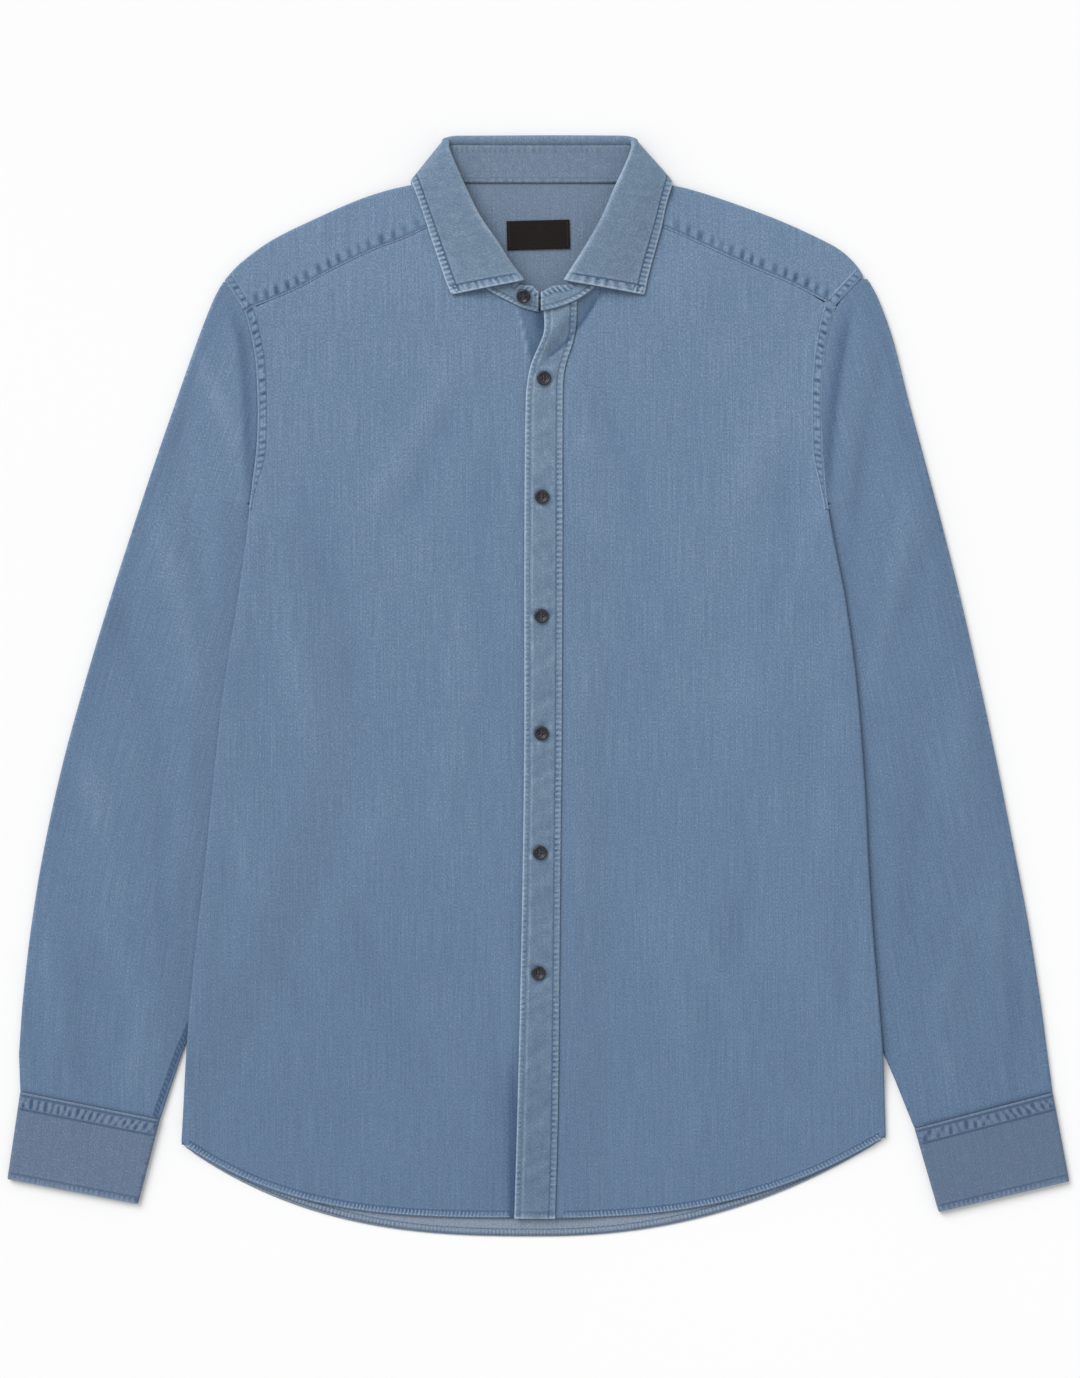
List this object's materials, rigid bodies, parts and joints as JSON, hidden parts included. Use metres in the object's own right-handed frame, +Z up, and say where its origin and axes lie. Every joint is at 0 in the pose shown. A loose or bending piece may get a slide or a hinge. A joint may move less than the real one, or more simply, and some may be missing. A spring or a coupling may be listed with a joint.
{
  "type": "denim shirt",
  "caption": "Long-sleeved denim shirt laid flat, front up: spread collar, button placket, yoke, cuffed sleeves under the body's sides, curved tails, bare neck label.",
  "frame": {"origin": "middle of the laid shirt's box, on the surface it lies on", "axes": "+Z up off the surface, the shirt's front facing +Z; +Y towards the collar; +X towards the wearer's left"},
  "size_m": [0.7638, 0.792, 0.0174],
  "materials": {
    "denim": "washed mid-blue denim",
    "denim_band": "washed mid-blue denim, worn paler at its edges",
    "label": "dark woven tape",
    "button": "dark, softly polished"
  },
  "bodies": {
    "root": {"front_right": "denim", "front_left": "denim", "back": "denim", "yoke": "denim", "sleeve_right": "denim", "sleeve_left": "denim", "cuff_right": "denim", "cuff_left": "denim", "placket": "denim_band", "collar_fall": "denim_band", "collar_stand": "denim_band", "neck_label": "label", "collar_button": "button", "button_1": "button", "button_2": "button", "button_3": "button", "button_4": "button", "button_5": "button", "button_6": "button"}
  },
  "joints": []
}
